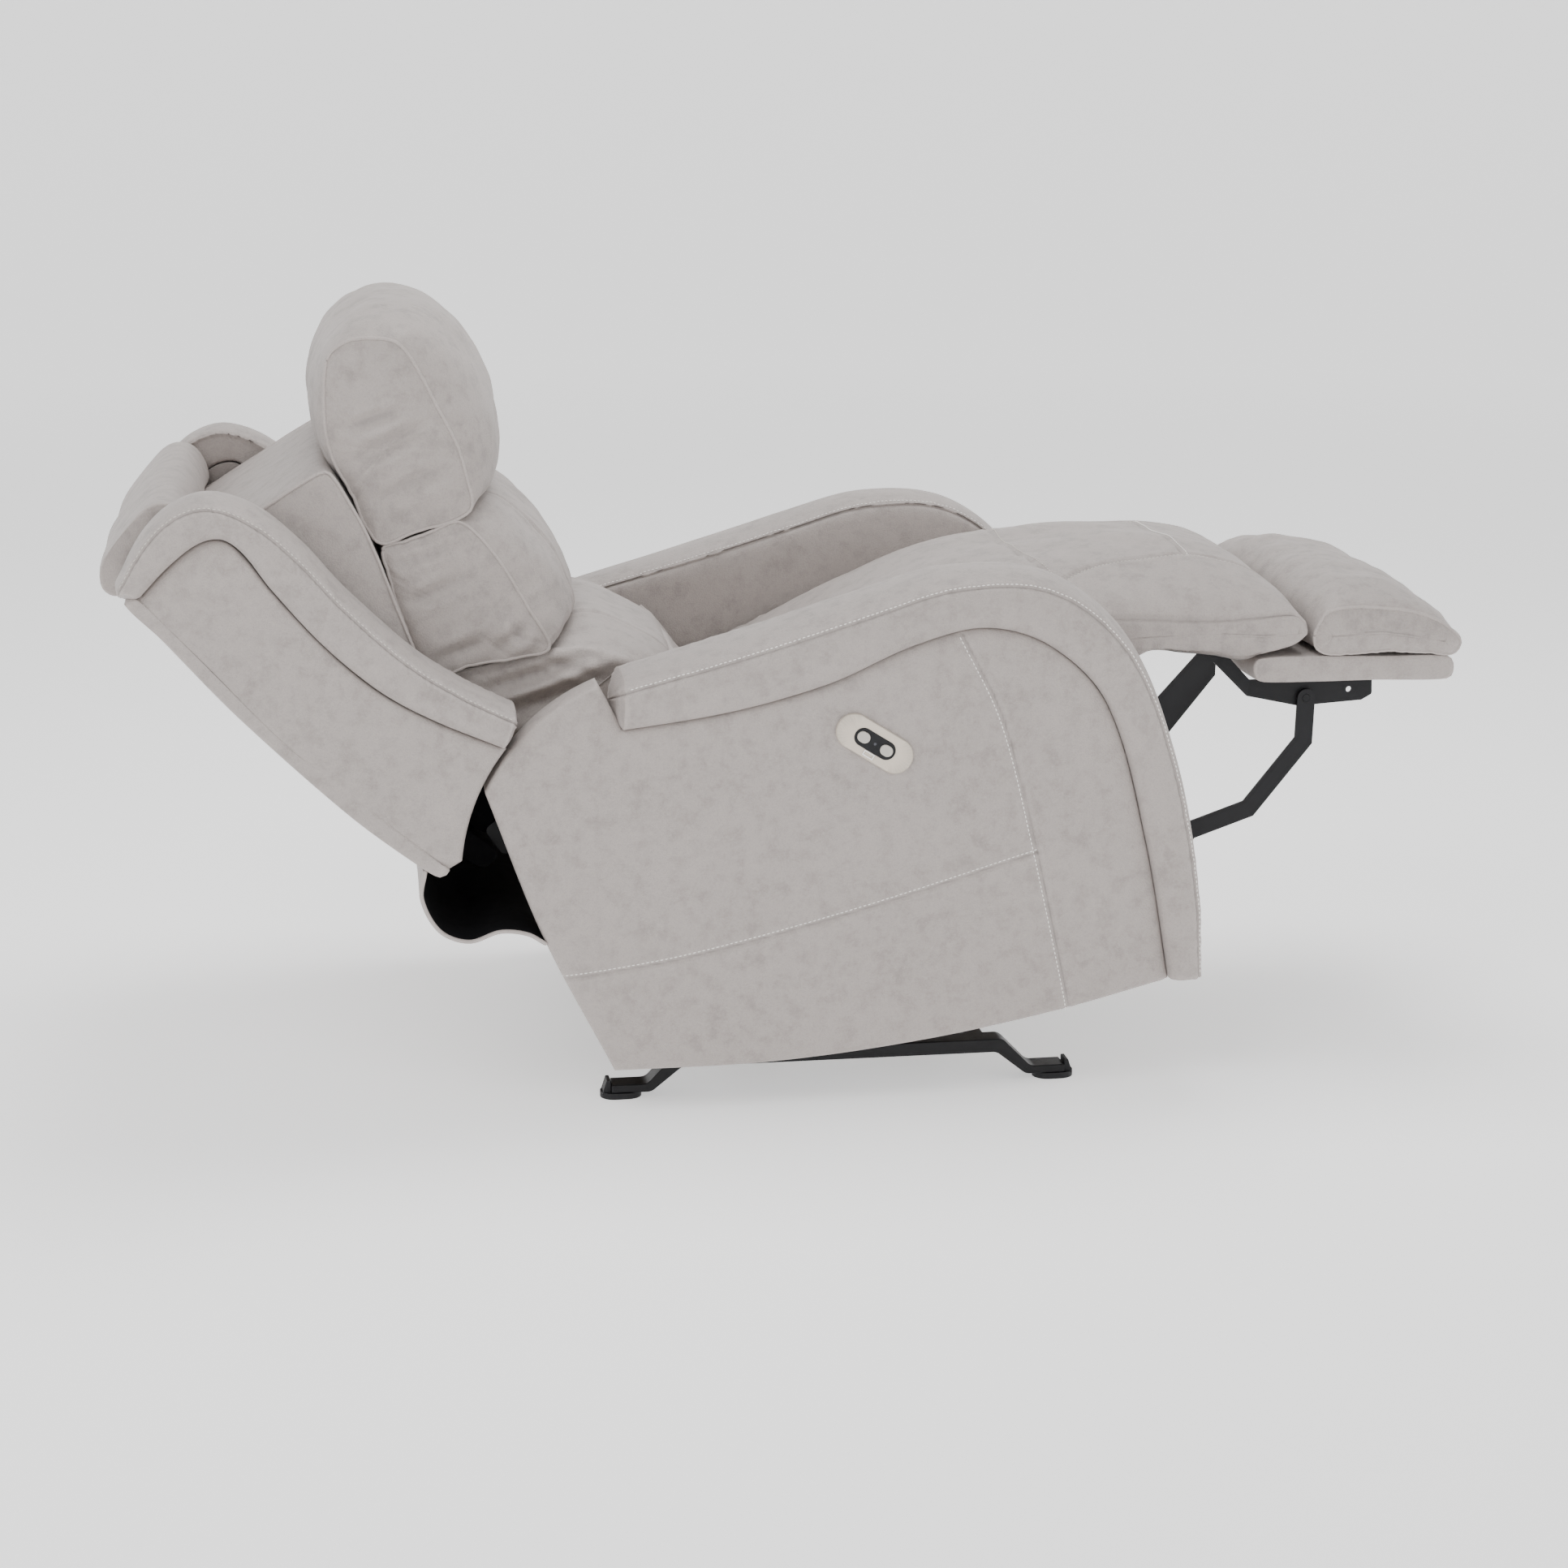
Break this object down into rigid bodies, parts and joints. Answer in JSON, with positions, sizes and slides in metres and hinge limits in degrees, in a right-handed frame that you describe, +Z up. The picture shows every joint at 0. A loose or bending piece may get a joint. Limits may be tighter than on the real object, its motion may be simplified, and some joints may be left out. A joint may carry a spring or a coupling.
{
  "type": "recliner armchair",
  "caption": "Rocker recliner armchair with winged back, padded roll arms, fold-out leg rest and tilting headrest, shown opened out.",
  "frame": {"origin": "on the floor under the middle of the opened-out chair's box", "axes": "+X the way the chair faces, +Y to the sitter's left, +Z up; rest pose is opened out"},
  "size_m": [1.7542, 0.83, 1.015],
  "materials": {
    "leather": "taupe grey faux leather, fine pebble grain, pale topstitching",
    "black_steel": "black satin powder coat",
    "spring_steel": "oiled spring wire",
    "wood": "bare plywood and hardwood",
    "black_plastic": "moulded black",
    "beige_metal": "satin champagne",
    "button_plastic": "satin warm grey",
    "port_steel": "bright",
    "lamp": "clear dark lens"
  },
  "bodies": {
    "base": {"base_rail_left": "black_steel", "base_rail_right": "black_steel", "base_cross_tubes": "black_steel", "base_feet": "black_plastic", "rocker_springs": "spring_steel"},
    "seat_frame": {"rocker_cam_left": "black_steel", "rocker_cam_right": "black_steel", "side_rails": "wood", "mech_plate_left": "black_steel", "mech_plate_right": "black_steel", "seat_rails": "wood", "seat_springs": "spring_steel", "recline_pins": "spring_steel", "arm_frame_left": "wood", "arm_frame_right": "wood", "arm_panel_left": "leather", "arm_panel_right": "leather", "arm_inner_left": "leather", "arm_inner_right": "leather", "arm_roll_left": "leather", "arm_roll_right": "leather", "seat_cushion": "leather", "drive_motor": "black_plastic", "drive_rail": "black_steel", "control_plate": "beige_metal", "control_inset": "black_plastic", "status_lens": "lamp", "usb_port": "port_steel", "power_inlet": "black_plastic", "rear_flap": "leather"},
    "drive_slider": {"drive_slider": "black_steel"},
    "button_open": {"button_open": "button_plastic"},
    "button_close": {"button_close": "button_plastic"},
    "backrest": {"back_frame": "wood", "back_panel": "leather", "wing_panel_left": "leather", "wing_panel_right": "leather", "wing_roll_left": "leather", "wing_roll_right": "leather", "back_top_roll": "leather", "inner_back": "leather", "back_pad_lower": "leather", "neck_pillow": "leather", "mid_pillow": "leather", "lumbar_pillow": "leather", "back_brackets": "black_steel", "headrest_hinges": "spring_steel"},
    "headrest": {"headrest_board": "wood", "headrest_pillow": "leather"},
    "leg_rest": {"footrest_board": "leather", "footrest_brackets": "black_steel", "chaise_pad": "leather", "foot_pad": "leather"},
    "leg_crank": {"torque_tube": "black_steel", "leg_cranks": "black_steel", "drive_fork": "black_steel"},
    "front_link": {"leg_links_front": "black_steel"},
    "rear_link": {"leg_links_rear": "black_steel"},
    "guide_link": {"leg_guides": "black_steel"}
  },
  "joints": [
    {"name": "rock", "type": "hinge", "parent": "base", "child": "seat_frame", "pos_m": [0.041, 0, 0.058], "axis": [0, 1, 0], "range_deg": [-2, 11.3], "stiffness_Nm_per_rad": 900, "springref_deg": 4.58, "deforming": ["rocker_springs"]},
    {"name": "recline", "type": "hinge", "parent": "seat_frame", "child": "backrest", "pos_m": [-0.18113, 0, 0.3203], "axis": [0, 1, 0], "range_deg": [0, 27], "deforming": ["rear_flap"]},
    {"name": "headrest_tilt", "type": "hinge", "parent": "backrest", "child": "headrest", "pos_m": [-0.58392, 0, 0.82027], "axis": [0, 1, 0], "range_deg": [-32, 0]},
    {"name": "legrest_fold", "type": "hinge", "parent": "seat_frame", "child": "leg_rest", "pos_m": [0.47867, 0, 0.58428], "axis": [0, 1, 0], "range_deg": [0, 83]},
    {"name": "crank_turn", "type": "hinge", "parent": "seat_frame", "child": "leg_crank", "pos_m": [0.31611, 0, 0.40517], "axis": [0, 1, 0], "range_deg": [0, 83]},
    {"name": "guide_turn", "type": "hinge", "parent": "seat_frame", "child": "guide_link", "pos_m": [0.37001, 0, 0.4645], "axis": [0, 1, 0], "range_deg": [0, 83]},
    {"name": "front_link_turn", "type": "hinge", "parent": "leg_crank", "child": "front_link", "pos_m": [0.51822, 0, 0.30706], "axis": [0, 1, 0], "range_deg": [-83, 0]},
    {"name": "rear_link_turn", "type": "hinge", "parent": "leg_crank", "child": "rear_link", "pos_m": [0.3848, 0, 0.37264], "axis": [0, 1, 0], "range_deg": [-83, 0]},
    {"name": "drive_slide", "type": "slide", "parent": "seat_frame", "child": "drive_slider", "axis": [0.9919, 0, 0.1271], "range_m": [-0.0835, 0]},
    {"name": "press_open", "type": "slide", "parent": "seat_frame", "child": "button_open", "axis": [0, 1, 0], "range_m": [0, 0.0018], "stiffness_N_per_m": 900},
    {"name": "press_close", "type": "slide", "parent": "seat_frame", "child": "button_close", "axis": [0, 1, 0], "range_m": [0, 0.0018], "stiffness_N_per_m": 900}
  ],
  "couplings": [
    {"joint": "crank_turn", "follows": "legrest_fold", "ratio": 1},
    {"joint": "guide_turn", "follows": "legrest_fold", "ratio": 1},
    {"joint": "front_link_turn", "follows": "legrest_fold", "ratio": -1},
    {"joint": "rear_link_turn", "follows": "legrest_fold", "ratio": -1},
    {"joint": "drive_slide", "follows": "legrest_fold", "m_per_rad": -0.05757}
  ]
}
